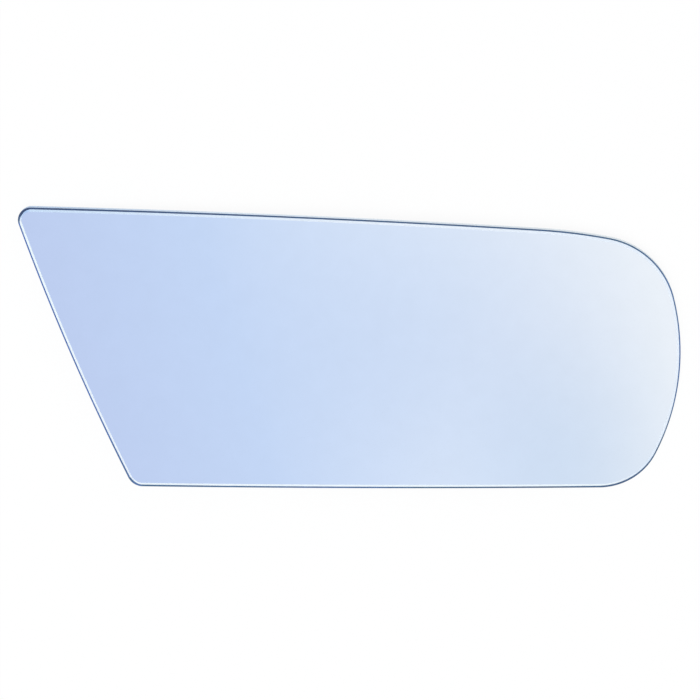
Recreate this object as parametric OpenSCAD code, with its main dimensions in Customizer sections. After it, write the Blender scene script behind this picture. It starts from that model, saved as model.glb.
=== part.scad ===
// Bare glass of a car door mirror: one bent, mirrored sheet with a ground edge.
// It lies on its rim with the mirror face up: +X runs along its length to the
// rounded end, +Y to the longer upper edge, +Z out of the mirror face.
// Millimetres. The origin is the middle of the box round the glass, at its bottom.

/* [Outline] */
// Width between the two upper corners, each taken as sharp
upper_w = 177.8; // [165:0.1:200]
// Height between the two left corners, each taken as sharp
left_h = 80.5; // [70:0.1:95]
// How far the lower left corner is set in from the upper left one
left_inset = 32; // [20:0.1:45]
// How far the lower right corner is set in from the upper right one
right_inset = 4.5; // [0:0.1:12]
// How much lower the upper right corner lies than the upper left one
top_fall = 8.4; // [2:0.1:14]
// How much lower the lower right corner lies than the lower left one
bottom_fall = 0.2; // [0:0.1:5]

/* [Crown of each side] */
// Outward bow of the slanted left side
left_crown = 1.25; // [0.3:0.05:4]
// Outward bow of the lower side, which is almost straight
bottom_crown = 0.1; // [0.05:0.05:1]
// Outward bow of the right side
right_crown = 10.9; // [7:0.1:13]
// Outward bow of the upper side
top_crown = 1.5; // [0.5:0.05:3]

/* [Corners] */
// Radius of the upper left corner
upper_left_r = 3.7; // [2:0.1:8]
// Radius of the lower left corner
lower_left_r = 4.4; // [2:0.1:8]
// Radius of the lower right corner
lower_right_r = 17.7; // [12:0.1:24]
// Radius of the upper right corner
upper_right_r = 22.8; // [16:0.1:28]

/* [Shoulder before the upper right corner] */
// Radius of the slow turn from the upper side into that corner
top_shoulder_r = 146; // [80:1:250]
// Where that turn starts, back from the corner taken as sharp
top_shoulder_run = 30; // [26:0.1:36]

/* [Bent sheet] */
// Thickness of the glass
thickness = 3; // [2:0.1:4]
// Radius of the convex mirror face
bend_r = 1800; // [1000:10:2500]
// Top of the bend as the glass rests, to the right of the sharp upper left corner
crest_x = 97.6; // [80:0.1:115]
// Top of the bend as the glass rests, below the sharp upper left corner
crest_y = 18.7; // [5:0.1:50]

/* [Ground edge] */
// Width of the arris ground round the mirror face
face_arris_w = 1.05; // [0.6:0.05:1.6]
// How far that arris drops
face_arris_d = 0.45; // [0.2:0.05:0.7]
// Width and rise of the small arris round the back
back_arris = 0.25; // [0.1:0.05:0.5]
// Rounding between each arris and the flat rim
edge_r = 0.25; // [0.1:0.05:0.4]

/* [Fineness] */
// Longest step along the outline
step_len = 4; // [3:0.5:8]
// Largest turn of one step round a corner
step_deg = 4; // [4:1:10]
// Rings of facets across each face
face_rings = 6; // [3:1:7]
// Steps in the rounding next to each arris
round_steps = 4; // [2:1:6]

/* [Hidden] */

glass_colour = [0.72, 0.80, 0.93];

// Corners of the outline, each taken as sharp
upper_left = [0, 0];
lower_left = [left_inset, -left_h];
upper_right = [upper_w, -top_fall];
lower_right = [upper_w - right_inset, -left_h - bottom_fall];
crest = [crest_x, -crest_y];

function unit(v) = v / norm(v);

// A circle is kept as [middle, radius].
// The circle through a and b that bows out by crown on the right of a to b
function side_circle(a, b, crown) =
    let (
        chord = norm(b - a),
        r = chord * chord / (8 * crown) + crown / 2,
        along = unit(b - a),
        inward = [-along[1], along[0]]
    )
    [(a + b) / 2 + inward * (r - crown), r];

// The circle of radius r that touches c from within at the point p
function touching_at(c, p, r) = [p + unit(c[0] - p) * r, r];

// The circle of radius r that touches both a and b from within, the nearer one to p
function corner_circle(a, b, r, p) =
    let (
        ra = a[1] - r,
        rb = b[1] - r,
        d = norm(b[0] - a[0]),
        along = unit(b[0] - a[0]),
        run = (ra * ra - rb * rb + d * d) / (2 * d),
        rise = sqrt(max(0, ra * ra - run * run)),
        across = [-along[1], along[0]],
        one = a[0] + along * run + across * rise,
        other = a[0] + along * run - across * rise
    )
    [norm(one - p) < norm(other - p) ? one : other, r];

// The point where two circles touch, one within the other
function touch(a, b) =
    a[1] > b[1] ? a[0] + unit(b[0] - a[0]) * a[1] : b[0] + unit(a[0] - b[0]) * b[1];

left_side = side_circle(upper_left, lower_left, left_crown);
lower_side = side_circle(lower_left, lower_right, bottom_crown);
right_side = side_circle(lower_right, upper_right, right_crown);
upper_side = side_circle(upper_right, upper_left, top_crown);

// The slow turn from the upper side into the upper right corner
top_turn_x = upper_right[0] - top_shoulder_run;
top_turn = [
    top_turn_x,
    upper_side[0][1] + sqrt(pow(upper_side[1], 2) - pow(top_turn_x - upper_side[0][0], 2))
];
top_shoulder = touching_at(upper_side, top_turn, top_shoulder_r);

// The nine arcs of the outline in turn, from the upper left corner round by the left
arcs = [
    corner_circle(upper_side, left_side, upper_left_r, upper_left),
    left_side,
    corner_circle(left_side, lower_side, lower_left_r, lower_left),
    lower_side,
    corner_circle(lower_side, right_side, lower_right_r, lower_right),
    right_side,
    corner_circle(right_side, top_shoulder, upper_right_r, upper_right),
    top_shoulder,
    upper_side
];
arc_count = len(arcs);

// Each station on the outline is [point, inward direction]
function arc_stations(i) =
    let (
        c = arcs[i],
        start = touch(arcs[(i + arc_count - 1) % arc_count], c) - c[0],
        end = touch(c, arcs[(i + 1) % arc_count]) - c[0],
        a0 = atan2(start[1], start[0]),
        turn = atan2(start[0] * end[1] - start[1] * end[0], start * end),
        steps = ceil(max(turn / step_deg, c[1] * turn * PI / 180 / step_len, 1))
    )
    [for (k = [0 : steps - 1])
        let (a = a0 + turn * k / steps, outward = [cos(a), sin(a)])
        [c[0] + c[1] * outward, -outward]];

stations = [for (i = [0 : arc_count - 1]) each arc_stations(i)];
count = len(stations);

// The rounding between the flat rim and an arris that would meet it at corner_h.
// way is 1 for the arris round the face and -1 for the one round the back
function edge_round(corner_h, arris_deg, way, steps) =
    let (turn = 90 - arris_deg, middle_h = corner_h - way * edge_r * tan(turn / 2))
    [for (k = steps)
        let (a = turn * k / round_steps)
        [edge_r * (1 - cos(a)), middle_h + way * edge_r * sin(a)]];

// Section of the rim as [inset, height above the back], from the back to the face
rim = concat(
    [[back_arris, 0]],
    edge_round(back_arris, 45, -1, [round_steps : -1 : 0]),
    edge_round(thickness - face_arris_d, atan(face_arris_d / face_arris_w), 1, [0 : round_steps]),
    [[face_arris_w, thickness]]
);

// A point of the flat outline, at height h above the back, laid on the bent sheet
mid_r = bend_r - thickness / 2;
function bent(p, h) =
    let (q = p - crest, up = sqrt(mid_r * mid_r - q * q))
    [q[0], q[1], up] * (bend_r - thickness + h) / mid_r;

function rim_ring(s) = [for (p = stations) bent(p[0] + p[1] * s[0], s[1])];

// A ring across the face or the back, the share f of the way out from the crest to the arris
function face_ring(f, arris_w, h) =
    [for (p = stations) bent(crest + (p[0] + p[1] * arris_w - crest) * f, h)];

// From the middle of the back, out round the rim and in to the middle of the face
rings = concat(
    [for (k = [1 : face_rings - 1]) face_ring(k / face_rings, back_arris, 0)],
    [for (s = rim) rim_ring(s)],
    [for (k = [face_rings - 1 : -1 : 1]) face_ring(k / face_rings, face_arris_w, thickness)]
);
ring_count = len(rings);
bent_points = concat(
    [for (r = rings) each r],
    [bent(crest, 0), bent(crest, thickness)]
);
back_middle = ring_count * count;
face_middle = back_middle + 1;

// The box round the glass puts it on its rim, with the origin under its middle
xs = [for (p = bent_points) p[0]];
ys = [for (p = bent_points) p[1]];
zs = [for (p = bent_points) p[2]];
to_origin = [-(min(xs) + max(xs)) / 2, -(min(ys) + max(ys)) / 2, -min(zs)];

facets = concat(
    [for (i = [0 : count - 1]) [back_middle, i, (i + 1) % count]],
    [for (k = [0 : ring_count - 2], i = [0 : count - 1])
        let (j = (i + 1) % count)
        each [
            [k * count + i, (k + 1) * count + i, (k + 1) * count + j],
            [k * count + i, (k + 1) * count + j, k * count + j]
        ]],
    [for (i = [0 : count - 1])
        [face_middle, (ring_count - 1) * count + (i + 1) % count, (ring_count - 1) * count + i]]
);

module mirror_glass() {
    color(glass_colour)
        translate(to_origin)
            polyhedron(points = bent_points, faces = facets, convexity = 4);
}

mirror_glass();
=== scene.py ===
import math

import bpy
import numpy as np
from mathutils import Matrix, Vector


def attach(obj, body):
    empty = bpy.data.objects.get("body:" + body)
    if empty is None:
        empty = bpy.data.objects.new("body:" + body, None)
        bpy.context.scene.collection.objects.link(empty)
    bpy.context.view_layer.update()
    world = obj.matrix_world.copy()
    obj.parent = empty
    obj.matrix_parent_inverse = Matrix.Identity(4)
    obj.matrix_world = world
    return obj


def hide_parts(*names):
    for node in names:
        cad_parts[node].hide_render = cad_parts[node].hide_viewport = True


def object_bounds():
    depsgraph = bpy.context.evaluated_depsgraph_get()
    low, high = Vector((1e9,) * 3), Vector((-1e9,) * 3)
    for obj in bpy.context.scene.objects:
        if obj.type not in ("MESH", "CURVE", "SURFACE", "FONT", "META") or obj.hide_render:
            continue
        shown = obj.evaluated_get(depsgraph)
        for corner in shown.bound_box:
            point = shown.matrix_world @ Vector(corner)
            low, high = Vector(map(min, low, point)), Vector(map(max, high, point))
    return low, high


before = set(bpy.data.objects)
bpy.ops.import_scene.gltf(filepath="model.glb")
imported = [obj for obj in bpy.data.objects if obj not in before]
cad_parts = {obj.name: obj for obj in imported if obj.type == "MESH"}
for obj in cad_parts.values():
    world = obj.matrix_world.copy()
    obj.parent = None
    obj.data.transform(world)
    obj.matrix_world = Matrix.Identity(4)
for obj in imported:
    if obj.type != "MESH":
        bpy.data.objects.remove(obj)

cad_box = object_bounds()
MM = 0.001

# The glass, in millimetres, with the same sizes as in the part's source. The outline starts
# at the upper left corner, taken as sharp.
UPPER_W, LEFT_H = 177.8, 80.5
LEFT_INSET, RIGHT_INSET = 32.0, 4.5
TOP_FALL, BOTTOM_FALL = 8.4, 0.2
LEFT_CROWN, BOTTOM_CROWN, RIGHT_CROWN, TOP_CROWN = 1.25, 0.1, 10.9, 1.5
UPPER_LEFT_R, LOWER_LEFT_R, LOWER_RIGHT_R, UPPER_RIGHT_R = 3.7, 4.4, 17.7, 22.8
TOP_SHOULDER_R, TOP_SHOULDER_RUN = 146.0, 30.0
THICKNESS, BEND_R = 3.0, 1800.0
CREST = np.array([97.6, -18.7])
FACE_ARRIS_W, FACE_ARRIS_D = 1.05, 0.45
BACK_ARRIS, EDGE_R = 0.25, 0.25

# How the ground arris looks: a dark line outside and a bright band inside, which is ground a
# little way on into the face. The dark line is painted shade and painted dark reflection. The
# bright band is pale ground glass with a painted highlight. Both tones are set by the way each
# stretch faces, as the light falls on it. Each row gives the way that a stretch of the outline
# faces, in degrees from the round end, the width of the dark line, its tone from navy at 0 to
# slate blue at 1, the tone of the bright band from blue at 0 to white at 1, and how far that
# band goes into the face.
EDGE_WAYS = [
    (0, 0.39, 0.85, 0.66, 0.01),
    (9, 0.355, 0.74, 0.66, 0.01),
    (20, 0.38, 0.78, 0.65, 0.01),
    (45, 0.385, 0.71, 0.63, 0.01),
    (62, 0.39, 0.67, 0.61, 0.02),
    (78, 0.37, 0.56, 0.61, 0.02),
    (84, 0.40, 0.46, 0.60, 0.02),
    (90, 0.40, 0.40, 0.60, 0.02),
    (112, 0.54, 0.20, 0.10, 0.02),
    (145, 0.76, 0.12, 0.10, 0.01),
    (175, 0.58, 0.50, 0.50, 0.04),
    (198, 0.48, 0.95, 0.89, 0.08),
    (203, 0.49, 0.90, 0.73, 0.08),
    (206, 0.68, 0.68, 0.61, 0.11),
    (220, 0.80, 0.74, 0.72, 0.17),
    (236, 0.72, 0.81, 0.78, 0.18),
    (262, 0.51, 0.79, 0.78, 0.12),
    (270, 0.50, 0.65, 0.78, 0.11),
    (302, 0.58, 0.50, 0.60, 0.05),
    (325, 0.47, 0.55, 0.52, 0.01),
    (340, 0.365, 0.68, 0.64, 0.01),
]
# What is added to these four values along the upper and the lower side, by the place along
# X from the middle of the outline. This shifts the painted shade and highlight from end to end.
UPPER_DRIFT = [
    (-90, 0.06, -0.20, -0.27, 0.0),
    (-20, 0.005, -0.05, -0.03, 0.0),
    (20, -0.01, 0.0, 0.05, 0.0),
    (70, 0.0, 0.04, 0.03, 0.0),
]
LOWER_DRIFT = [
    (-60, 0.15, 0.03, -0.04, 0.01),
    (-35, 0.06, 0.07, -0.02, 0.02),
    (-12, 0.06, 0.13, 0.0, 0.01),
    (10, 0.045, 0.11, 0.0, 0.0),
    (30, 0.03, -0.10, 0.0, 0.0),
    (58, 0.06, -0.13, 0.01, 0.0),
    (75, 0.16, -0.12, 0.02, 0.0),
]
# How fast that addition fades as the outline turns away from the side
DRIFT_FADE = 6

# Fineness of the mesh
STEP_LEN, STEP_TURN = 1.4, math.radians(2.5)
FACE_RINGS, ROUND_STEPS = 8, 6

# The finishes, in order from the middle of the back round the rim to the middle of the face
BACK, BACK_EDGE, WALL, LINE, BRIGHT, FACE = range(6)

# The map that the finishes can be drawn on is one unit wide and high. It has the face and
# the back as seen from above, and between them the rim, cut into strips that lie straight.
MAP_EDGE = 0.01
MAP_REACH = 185.5       # just over the length of the glass
MAP_LOW = {FACE: 0.01, BACK: 0.80}
MAP_SCALE = {FACE: 0.98 / MAP_REACH, BACK: 0.42 / MAP_REACH}
STRIPS, STRIP_LOW, STRIP_STEP = 3, 0.47, 0.105
# Where the parts of the rim start on a strip, and where the last one ends
WALL_V, LINE_V, LINE_FLAT_V, BRIGHT_V, LAP_V, STRIP_END_V = 0.014, 0.038, 0.050, 0.070, 0.088, 0.096

QUARTER = math.pi / 2


def unit(v):
    return v / np.linalg.norm(v)


def side_circle(a, b, crown):
    """The circle through a and b that bows out by crown, as its middle and its radius."""
    chord = np.linalg.norm(b - a)
    r = chord * chord / (8 * crown) + crown / 2
    along = unit(b - a)
    return (a + b) / 2 + np.array([-along[1], along[0]]) * (r - crown), r


def touching_at(c, p, r):
    """The circle of radius r that touches c from within at the point p."""
    return p + unit(c[0] - p) * r, r


def corner_circle(a, b, r, p):
    """The circle of radius r that touches a and b from within, the nearer one to p."""
    ra, rb = a[1] - r, b[1] - r
    d = np.linalg.norm(b[0] - a[0])
    along = unit(b[0] - a[0])
    run = (ra * ra - rb * rb + d * d) / (2 * d)
    rise = math.sqrt(max(0.0, ra * ra - run * run))
    across = np.array([-along[1], along[0]])
    ends = [a[0] + along * run + across * rise * way for way in (1, -1)]
    return min(ends, key=lambda q: np.linalg.norm(q - p)), r


def touch(a, b):
    """The point where two circles touch, one within the other."""
    big, small = (a, b) if a[1] > b[1] else (b, a)
    return big[0] + unit(small[0] - big[0]) * big[1]


def outline():
    """Points of the flat outline, counter-clockwise, and the outward direction at each."""
    upper_left, lower_left = np.array([0.0, 0.0]), np.array([LEFT_INSET, -LEFT_H])
    upper_right = np.array([UPPER_W, -TOP_FALL])
    lower_right = np.array([UPPER_W - RIGHT_INSET, -LEFT_H - BOTTOM_FALL])
    left = side_circle(upper_left, lower_left, LEFT_CROWN)
    lower = side_circle(lower_left, lower_right, BOTTOM_CROWN)
    right = side_circle(lower_right, upper_right, RIGHT_CROWN)
    upper = side_circle(upper_right, upper_left, TOP_CROWN)
    turn_x = upper_right[0] - TOP_SHOULDER_RUN
    turn_y = upper[0][1] + math.sqrt(upper[1] ** 2 - (turn_x - upper[0][0]) ** 2)
    shoulder = touching_at(upper, np.array([turn_x, turn_y]), TOP_SHOULDER_R)
    arcs = [
        corner_circle(upper, left, UPPER_LEFT_R, upper_left),
        left,
        corner_circle(left, lower, LOWER_LEFT_R, lower_left),
        lower,
        corner_circle(lower, right, LOWER_RIGHT_R, lower_right),
        right,
        corner_circle(right, shoulder, UPPER_RIGHT_R, upper_right),
        shoulder,
        upper,
    ]
    points, outward = [], []
    for i, (middle, r) in enumerate(arcs):
        start = touch(arcs[i - 1], arcs[i]) - middle
        end = touch(arcs[i], arcs[(i + 1) % len(arcs)]) - middle
        a0 = math.atan2(start[1], start[0])
        turn = math.atan2(start[0] * end[1] - start[1] * end[0], start @ end)
        steps = math.ceil(max(turn / STEP_TURN, r * turn / STEP_LEN, 1))
        for k in range(steps):
            a = a0 + turn * k / steps
            way = np.array([math.cos(a), math.sin(a)])
            points.append(middle + r * way)
            outward.append(way)
    return np.array(points), np.array(outward)


POINTS, OUTWARD = outline()
COUNT = len(POINTS)
OUTLINE_MIDDLE = (POINTS.min(0) + POINTS.max(0)) / 2


def bent(p, h):
    """Flat points p at height h above the back, laid on the bent sheet with the crest at
    x = y = 0."""
    q = p - CREST
    mid_r = BEND_R - THICKNESS / 2
    up = np.sqrt(mid_r ** 2 - (q ** 2).sum(1))
    return np.c_[q, up] * (BEND_R - THICKNESS + np.reshape(h, (-1, 1))) / mid_r


def ring_points(share, inset, h):
    """A ring at the share of the way out from the crest to the outline moved in by inset."""
    moved = POINTS - OUTWARD * np.reshape(inset, (-1, 1))
    return bent(CREST + (moved - CREST) * share, h)


def ring_normals(ring, turn):
    """The normals along a ring, turned from level and out of the rim towards the face."""
    up = ring / np.linalg.norm(ring, axis=1)[:, None]
    flat = np.c_[OUTWARD, np.zeros(COUNT)]
    out = flat - up * (flat * up).sum(1)[:, None]
    out /= np.linalg.norm(out, axis=1)[:, None]
    return up * math.sin(turn) + out * math.cos(turn)


def edge_looks():
    """The four values of EDGE_WAYS at each point of the outline, with the drifts added."""
    way = np.degrees(np.arctan2(OUTWARD[:, 1], OUTWARD[:, 0]))
    x = POINTS[:, 0] - OUTLINE_MIDDLE[0]
    upper = np.clip(OUTWARD[:, 1], 0, 1) ** DRIFT_FADE
    lower = np.clip(-OUTWARD[:, 1], 0, 1) ** DRIFT_FADE
    table, above, below = (np.array(rows).T for rows in (EDGE_WAYS, UPPER_DRIFT, LOWER_DRIFT))
    width, line, bright, lap = (
        np.interp(way, table[0], table[k], period=360)
        + upper * np.interp(x, above[0], above[k]) + lower * np.interp(x, below[0], below[k])
        for k in (1, 2, 3, 4))
    return width, np.clip(line, 0, 1), np.clip(bright, 0, 1), lap


def rounding(corner_h, arris, way):
    """Rows of the rounding from the flat rim to an arris that would meet it at corner_h. way
    is 1 for the arris round the face and -1 for the one round the back."""
    turn = QUARTER - arris
    middle_h = corner_h - way * EDGE_R * math.tan(turn / 2)
    angles = [turn * k / ROUND_STEPS for k in range(ROUND_STEPS + 1)]
    return [(1, EDGE_R * (1 - math.cos(a)), middle_h + way * EDGE_R * math.sin(a), way * a)
            for a in angles]


def bands():
    """The rings of the glass, from the middle of the back out round the rim to the middle of
    the face. Each band has its finish, its rows, and the place of each row on a strip of the
    map. A row holds the three values that ring_points takes and the turn for ring_normals."""
    arris = math.atan(FACE_ARRIS_D / FACE_ARRIS_W)
    lean = QUARTER - arris
    back_round = rounding(BACK_ARRIS, QUARTER / 2, -1)[::-1]
    face_round = rounding(THICKNESS - FACE_ARRIS_D, arris, 1)
    line_w, _, _, lap = edge_looks()
    face_w = FACE_ARRIS_W + lap
    line_h = THICKNESS - (FACE_ARRIS_W - line_w) * FACE_ARRIS_D / FACE_ARRIS_W
    line_end = (1, line_w, line_h, lean)
    shares = [k / FACE_RINGS for k in range(1, FACE_RINGS + 1)]
    return [
        (BACK, [(f, BACK_ARRIS, 0.0, -QUARTER) for f in shares], []),
        (BACK_EDGE, [(1, BACK_ARRIS, 0.0, -QUARTER / 2), *back_round],
         [*np.linspace(0.0, WALL_V, ROUND_STEPS + 2)]),
        (WALL, [back_round[-1], face_round[0]], [WALL_V, LINE_V]),
        (LINE, [*face_round, line_end], [*np.linspace(LINE_V, LINE_FLAT_V, ROUND_STEPS + 1), BRIGHT_V]),
        (BRIGHT, [line_end, (1, FACE_ARRIS_W, THICKNESS, lean)], [BRIGHT_V, LAP_V]),
        (BRIGHT, [(1, w, THICKNESS, QUARTER) for w in (FACE_ARRIS_W, face_w)], [LAP_V, STRIP_END_V]),
        (FACE, [(f, face_w, THICKNESS, QUARTER) for f in shares[::-1]], []),
    ]


def strip_runs():
    """For each step of the outline, where it starts and ends along its strip, and how high
    that strip lies on the map."""
    steps = np.linalg.norm(np.roll(POINTS, -1, 0) - POINTS, axis=1)
    along = np.append(0, np.cumsum(steps))
    cuts = [round(k * COUNT / STRIPS) for k in range(STRIPS + 1)]
    start, end, low = np.zeros(COUNT), np.zeros(COUNT), np.zeros(COUNT)
    for k, (first, last) in enumerate(zip(cuts, cuts[1:])):
        share = (along[first:last + 1] - along[first]) / (along[last] - along[first])
        u = MAP_EDGE + share * (1 - 2 * MAP_EDGE)
        start[first:last], end[first:last] = u[:-1], u[1:]
        low[first:last] = STRIP_LOW + k * STRIP_STEP
    return start, end, low


def strip_spots(below, above):
    """The map places of the facets between two places across the strips."""
    start, end, low = strip_runs()
    corners = (start, below), (end, below), (end, above), (start, above)
    return np.stack([np.c_[u, low + v] for u, v in corners], 1)


def flat_spots(finish, points):
    """The map places of points of the face or the back, as seen from above."""
    corner = POINTS.min(0) - CREST
    return (points[..., :2] - corner) * MAP_SCALE[finish] + [MAP_EDGE, MAP_LOW[finish]]


def fitted(points):
    """The fine mesh, fitted to the box of the glass that it replaces. That glass has longer
    facets, which cut its box short by a few hundredths of a millimetre."""
    low, high = (np.array(corner) for corner in cad_box)
    own_low, own_high = points.min(0), points.max(0)
    return low + (points - own_low) * (high - low) / (own_high - own_low)


def build_glass():
    """The glass as one closed mesh: a chain of rings, and a fan in the middle of each side."""
    here = np.arange(COUNT)
    beside = (here + 1) % COUNT
    rings, faces, normals, spots, finishes = [], [], [], [], []
    for finish, rows, heights in bands():
        if not rings:
            rings.append(ring_points(*rows[0][:3]))
        before = ring_normals(rings[-1], rows[0][3])
        for k, row in enumerate(rows[1:]):
            rings.append(ring_points(*row[:3]))
            after = ring_normals(rings[-1], row[3])
            inner, outer = (len(rings) - 2) * COUNT, (len(rings) - 1) * COUNT
            faces += np.stack([inner + here, inner + beside, outer + beside, outer + here], 1).tolist()
            normals.append(np.stack([before, before[beside], after[beside], after], 1))
            if heights:
                spots.append(strip_spots(heights[k], heights[k + 1]))
            else:
                a, b = rings[-2:]
                spots.append(flat_spots(finish, np.stack([a, a[beside], b[beside], b], 1)))
            finishes += [finish] * COUNT
            before = after

    points = np.concatenate([*rings, bent(CREST[None], 0.0), bent(CREST[None], THICKNESS)])
    up = points / np.linalg.norm(points, axis=1)[:, None]
    last = (len(rings) - 1) * COUNT
    back_middle = len(rings) * COUNT
    fans = [
        (BACK, back_middle, beside, here, -1),
        (FACE, back_middle + 1, last + here, last + beside, 1),
    ]
    for finish, middle, a, b, way in fans:
        fan = np.stack([np.full(COUNT, middle), a, b], 1)
        faces += fan.tolist()
        normals.append(up[fan] * way)
        spots.append(flat_spots(finish, points[fan]))
        finishes += [finish] * COUNT

    mesh = bpy.data.meshes.new("mirror_glass_fine")
    mesh.from_pydata(fitted(points).tolist(), [], faces)
    mesh.polygons.foreach_set("material_index", finishes)
    mesh.polygons.foreach_set("use_smooth", [True] * len(faces))
    mesh.normals_split_custom_set(np.concatenate([n.reshape(-1, 3) for n in normals]).tolist())
    mesh.update()
    unrolled = mesh.uv_layers.new(name="OFBake")
    unrolled.data.foreach_set("uv", np.concatenate([s.ravel() for s in spots]))
    # The tones of the dark line's painted shade and of the bright band's painted highlight at each
    # point, for the materials to read
    _, line, bright, _ = edge_looks()
    for name, tones in (("painted_shade_tone", line), ("painted_highlight_tone", bright)):
        values = np.append(np.tile(tones, len(rings)), (0, 0))
        mesh.attributes.new(name, "FLOAT", "POINT").data.foreach_set("value", values)
    made = bpy.data.objects.new("coated_glass", mesh)
    bpy.context.scene.collection.objects.link(made)
    return made


def new_tree(made):
    """The empty node tree of a material or a world."""
    made.use_nodes = True
    made.node_tree.nodes.clear()
    return made.node_tree


def new_node(tree, kind, operation=None, inputs=()):
    """A node of the kind given. Each of its inputs, in order, takes a link or a fixed value,
    and None leaves it as it is."""
    made = tree.nodes.new("ShaderNode" + kind)
    if operation:
        made.operation = operation
    for socket, value in zip(made.inputs, inputs):
        if isinstance(value, bpy.types.NodeSocket):
            tree.links.new(value, socket)
        elif value is not None:
            socket.default_value = value
    return made


def spread(tree, value, source, target=(0, 1)):
    """value, with the range source spread over the range target."""
    return new_node(tree, "MapRange", inputs=(value, *source, *target)).outputs["Result"]


def ramp(tree, value, colours):
    """The colours at even steps of value from 0 to 1."""
    made = new_node(tree, "ValToRGB", inputs=(value,))
    stops = made.color_ramp.elements
    while len(stops) < len(colours):
        stops.new(0.5)
    for k, (stop, colour) in enumerate(zip(stops, colours)):
        stop.position = k / (len(colours) - 1)
        stop.color = (*colour, 1)
    return made.outputs["Color"]


def mix_shaders(tree, share, first, second):
    return new_node(tree, "MixShader", inputs=(share, first, second)).outputs[0]


GRAIN_DETAIL = 3
GRAIN_RANGE = (0.3, 0.7)      # what the noise mostly gives


def finish_material(name, colours, grain, grain_size, roughness, metallic=0.0, specular=0.5,
                    tone=None):
    """A finish whose colour drifts from end to end of the glass, or with the tone given for
    each point of the edge, under a fine grain with its size in millimetres."""
    made = bpy.data.materials.new(name)
    tree = new_tree(made)
    place = new_node(tree, "TexCoord").outputs["Object"]
    if tone:
        toned = new_node(tree, "Attribute")
        toned.attribute_name = tone
        drift = toned.outputs["Fac"]
    else:
        along = new_node(tree, "SeparateXYZ", inputs=(place,)).outputs["X"]
        drift = spread(tree, along, (cad_box[0].x, cad_box[1].x))
    noise = new_node(tree, "TexNoise")
    noise.inputs["Scale"].default_value = 1 / (grain_size * MM)
    noise.inputs["Detail"].default_value = GRAIN_DETAIL
    tree.links.new(place, noise.inputs["Vector"])
    shade = spread(tree, noise.outputs["Fac"], GRAIN_RANGE, (1 - grain, 1 + grain))
    grained = new_node(tree, "VectorMath", "SCALE", (ramp(tree, drift, colours),))
    tree.links.new(shade, grained.inputs["Scale"])
    shader = new_node(tree, "BsdfPrincipled")
    shader.inputs["Roughness"].default_value = roughness
    shader.inputs["Metallic"].default_value = metallic
    shader.inputs["Specular IOR Level"].default_value = specular
    tree.links.new(grained.outputs["Vector"], shader.inputs["Base Color"])
    new_node(tree, "OutputMaterial", inputs=(shader.outputs[0],))
    return made


def back_paint():
    return finish_material("back_paint", [(0.165, 0.175, 0.19), (0.18, 0.19, 0.205)],
                           grain=0.08, grain_size=7, roughness=0.55)


def back_arris():
    return finish_material("back_arris", [(0.56, 0.64, 0.70), (0.62, 0.70, 0.74)],
                           grain=0.06, grain_size=1.2, roughness=0.5)


def ground_rim_painted_shade():
    # Pale ground glass with painted shade: darker and bluer towards the left end, drawn along X
    colours = [(0.41, 0.55, 0.76), (0.69, 0.80, 0.91), (0.71, 0.785, 0.855),
               (0.71, 0.765, 0.79)]
    return finish_material("ground_rim_painted_shade", colours, grain=0.03, grain_size=1.5, roughness=0.45,
                           specular=0.3)


def edge_line_painted_shade():
    # Painted shade and painted dark reflection: navy to slate blue by the tone at each point of the
    # edge
    colours = [(0.038, 0.062, 0.138), (0.053, 0.097, 0.206), (0.070, 0.140, 0.238),
               (0.072, 0.158, 0.465)]
    return finish_material("edge_line_painted_shade", colours, grain=0.12, grain_size=2.5, roughness=0.35,
                           specular=0.2, tone="painted_shade_tone")


def ground_arris_painted_highlight():
    # Pale ground glass with a painted highlight: blue to white by the tone at each point of the edge
    colours = [(0.41, 0.583, 0.86), (0.57, 0.718, 0.898), (0.79, 0.855, 0.932),
               (0.87, 0.985, 0.975)]
    return finish_material("ground_arris_painted_highlight", colours, grain=0.02, grain_size=1.2, roughness=0.4,
                           specular=0.3, tone="painted_highlight_tone")


def silver_face():
    return finish_material("silver_face", [(0.818, 0.870, 0.949), (0.823, 0.875, 0.951)],
                           grain=0.008, grain_size=6, roughness=0.03, metallic=1.0)


glass = build_glass()
for finish in (back_paint, back_arris, ground_rim_painted_shade, edge_line_painted_shade, ground_arris_painted_highlight, silver_face):
    glass.data.materials.append(finish())
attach(glass, "root")
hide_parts("mirror_glass")

# The studio: a pale floor, and above it the card that the mirror shows. The mirror throws
# the camera's view up and towards -Y, so the card hangs there. It is blue on the left and
# white on the right, with two soft darker clouds on its right, and it fades out round its
# border. All its places are in metres.
FLOOR_SIZE = 6.0
FLOOR_COLOUR = (0.95, 0.95, 0.95, 1)
FLOOR_WHITE = 0.92             # how much of its shadows is hidden where the floor is seen
CARD_UP, CARD_HALF_W, CARD_HALF_D = 1.5, 0.75, 0.5
CARD_MIDDLE = (-0.1, -0.409)
CARD_FADE = 0.35               # how much of the way in from the border the fading takes
CARD_TURN = math.radians(13.7)
CARD_ORIGIN = (0.0, -0.399)
CARD_REACH = (-0.42, 0.19)     # from the first colour to the last, past that origin
CARD_LIGHT = 1.063
CARD_COLOURS = [(0.611, 0.693, 0.910), (0.671, 0.777, 0.965), (0.866, 0.923, 1.005),
                (1.053, 1.046, 1.016)]
# The middle and the two radii of each cloud, and what it adds to the colour
CARD_CLOUDS = [((0.115, -0.545), (0.162, 0.212), (-0.150, -0.107, -0.055)),
               ((0.044, -0.382), (0.296, 0.226), (-0.106, -0.088, -0.042))]


def plane(name, size_x, size_y, material):
    mesh = bpy.data.meshes.new(name)
    x, y = size_x / 2, size_y / 2
    mesh.from_pydata([(-x, -y, 0), (x, -y, 0), (x, y, 0), (-x, y, 0)], [], [(0, 1, 2, 3)])
    mesh.materials.append(material)
    made = bpy.data.objects.new(name, mesh)
    bpy.context.scene.collection.objects.link(made)
    return made


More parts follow.
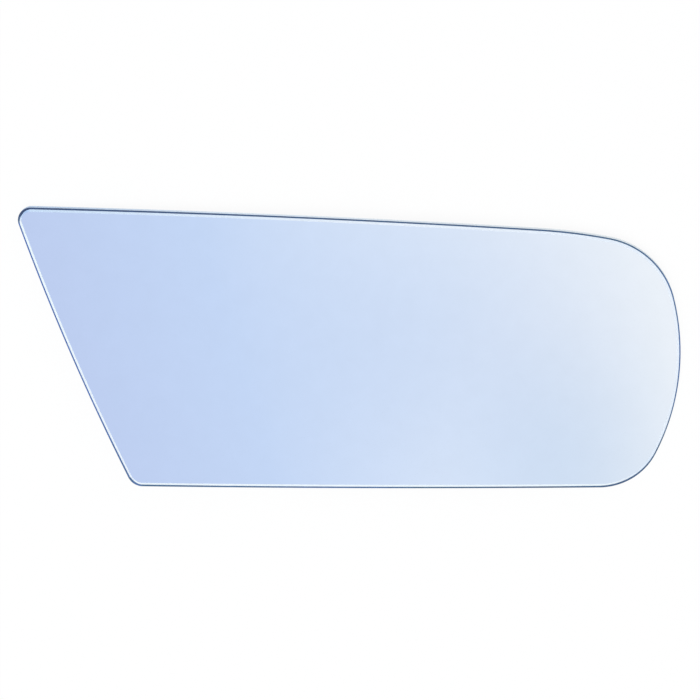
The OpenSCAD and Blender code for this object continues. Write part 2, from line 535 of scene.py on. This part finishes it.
def floor_material():
    """Pale, and almost white for the camera, for mirrors and through clear things."""
    made = bpy.data.materials.new("pale_floor")
    tree = new_tree(made)
    path = new_node(tree, "LightPath").outputs
    clear_or_mirror = new_node(tree, "Math", "MAXIMUM",
                               (path["Is Glossy Ray"], path["Is Transmission Ray"])).outputs[0]
    seen = new_node(tree, "Math", "MAXIMUM", (path["Is Camera Ray"], clear_or_mirror)).outputs[0]
    share = new_node(tree, "Math", "MULTIPLY", (seen, FLOOR_WHITE)).outputs[0]
    lit = new_node(tree, "BsdfDiffuse", inputs=(FLOOR_COLOUR,)).outputs[0]
    white = new_node(tree, "Emission", inputs=((1, 1, 1, 1),)).outputs[0]
    new_node(tree, "OutputMaterial", inputs=(mix_shaders(tree, share, lit, white),))
    return made


def soft_disc(tree, place, middle, radii):
    """1 in the middle of a soft disc and 0 outside it."""
    shifted = new_node(tree, "VectorMath", "SUBTRACT", (place, (*middle, 0))).outputs["Vector"]
    scaled = new_node(tree, "VectorMath", "DIVIDE", (shifted, (*radii, 1))).outputs["Vector"]
    length = new_node(tree, "VectorMath", "LENGTH", (scaled,)).outputs["Value"]
    fall = new_node(tree, "MapRange", inputs=(length, 0, 1, 1, 0))
    fall.interpolation_type = "SMOOTHSTEP"
    return fall.outputs["Result"]


def card_material():
    made = bpy.data.materials.new("card_light")
    tree = new_tree(made)
    place = new_node(tree, "TexCoord").outputs["Object"]
    way = Vector((math.cos(CARD_TURN), math.sin(CARD_TURN)))
    along = new_node(tree, "VectorMath", "DOT_PRODUCT", (place, (*way, 0))).outputs["Value"]
    shift = (Vector(CARD_ORIGIN) - Vector(CARD_MIDDLE)).dot(way)
    drift = spread(tree, along, [end + shift for end in CARD_REACH])
    colour = ramp(tree, drift, [[c / CARD_LIGHT for c in stop] for stop in CARD_COLOURS])
    for middle, radii, change in CARD_CLOUDS:
        cloud = soft_disc(tree, place, Vector(middle) - Vector(CARD_MIDDLE), radii)
        added = [c / CARD_LIGHT for c in change]
        colour = new_node(tree, "VectorMath", "MULTIPLY_ADD", (cloud, added, colour)).outputs["Vector"]
    shine = new_node(tree, "Emission", inputs=(colour, CARD_LIGHT)).outputs[0]
    clear = new_node(tree, "BsdfTransparent").outputs[0]
    inside = soft_disc(tree, place, (0, 0), (CARD_HALF_W, CARD_HALF_D))
    share = spread(tree, inside, (0, CARD_FADE))
    new_node(tree, "OutputMaterial", inputs=(mix_shaders(tree, share, clear, shine),))
    return made


plane("floor", FLOOR_SIZE, FLOOR_SIZE, floor_material())
card = plane("card", 2 * CARD_HALF_W, 2 * CARD_HALF_D, card_material())
card.location = (*CARD_MIDDLE, CARD_UP)
card.visible_camera = False
card.visible_diffuse = False
card.visible_shadow = False

# The walls of the studio: even light on everything, white behind the glass, and for mirrors
# soft blue and white bands, so that the glass looks like a mirror from every side
WALL_COLOUR, WALL_LIGHT = (0.97, 0.98, 1.0, 1), 0.8
BANDS = 17.0           # how fast the bands follow each other round the studio
BAND_WAY = Vector((0.62, 0.56, 0.55))      # the way from one band to the next
BAND_COLOURS = [(0.56, 0.66, 0.86), (0.93, 0.96, 1.0)]


def studio_walls():
    made = bpy.data.worlds.new("studio")
    tree = new_tree(made)
    path = new_node(tree, "LightPath").outputs
    facing = new_node(tree, "TexCoord").outputs["Generated"]
    slant = new_node(tree, "VectorMath", "DOT_PRODUCT", (facing, BAND_WAY * BANDS)).outputs["Value"]
    wave = new_node(tree, "Math", "SINE", (slant,)).outputs[0]
    band = ramp(tree, spread(tree, wave, (-1, 1)), BAND_COLOURS)
    soft = new_node(tree, "Background", inputs=(WALL_COLOUR, WALL_LIGHT)).outputs[0]
    mirrored = new_node(tree, "Background", inputs=(band, 1)).outputs[0]
    white = new_node(tree, "Background", inputs=((1, 1, 1, 1), 1)).outputs[0]
    unseen = mix_shaders(tree, path["Is Glossy Ray"], soft, mirrored)
    new_node(tree, "OutputWorld", inputs=(mix_shaders(tree, path["Is Camera Ray"], unseen, white),))
    return made


bpy.context.scene.world = studio_walls()


def soft_lamp(name, place, size, energy):
    """A square lamp that looks at the glass and doesn't show in it."""
    data = bpy.data.lights.new(name, "AREA")
    data.shape = "SQUARE"
    data.size = size
    data.energy = energy
    lamp = bpy.data.objects.new(name, data)
    bpy.context.scene.collection.objects.link(lamp)
    lamp.location = place
    lamp.rotation_mode = "QUATERNION"
    lamp.rotation_quaternion = (-lamp.location).to_track_quat("-Z", "Y")
    lamp.visible_glossy = False


soft_lamp("key", (-0.3, -0.4, 1.4), 0.9, 6.0)
soft_lamp("fill", (1.1, 1.0, 0.45), 0.8, 3.0)

# The camera looks down on the glass, a little from its upper side and its round end
TILT, SWING = math.radians(13.6), math.radians(4)
DISTANCE = 2.0
VIEW_W = 0.19587                     # what the picture takes in at the point aimed at
CREST_FROM_AIM = (3.364, 21.624)     # the crest, in millimetres from that point
SENSOR = 36.0
CLIP_START, CLIP_END = 0.1, 20


def add_camera():
    low, high = cad_box
    middle = (low + high) / 2
    crest = middle.xy / MM + Vector(CREST - OUTLINE_MIDDLE)
    aim = Vector((*(crest - Vector(CREST_FROM_AIM)) * MM, high.z))
    back = Vector((math.tan(SWING), math.tan(TILT), 1)).normalized()
    right = (Vector((1, 0, 0)) - back * back.x).normalized()
    turn = Matrix((right, back.cross(right), back)).transposed().to_4x4()
    data = bpy.data.cameras.new("camera")
    data.sensor_width = SENSOR
    data.lens = SENSOR * DISTANCE / VIEW_W
    data.clip_start, data.clip_end = CLIP_START, CLIP_END
    camera = bpy.data.objects.new("camera", data)
    bpy.context.scene.collection.objects.link(camera)
    camera.matrix_world = Matrix.Translation(aim + back * DISTANCE) @ turn
    bpy.context.scene.camera = camera


add_camera()
bpy.context.scene.view_settings.view_transform = "Standard"

bpy.context.view_layer.update()
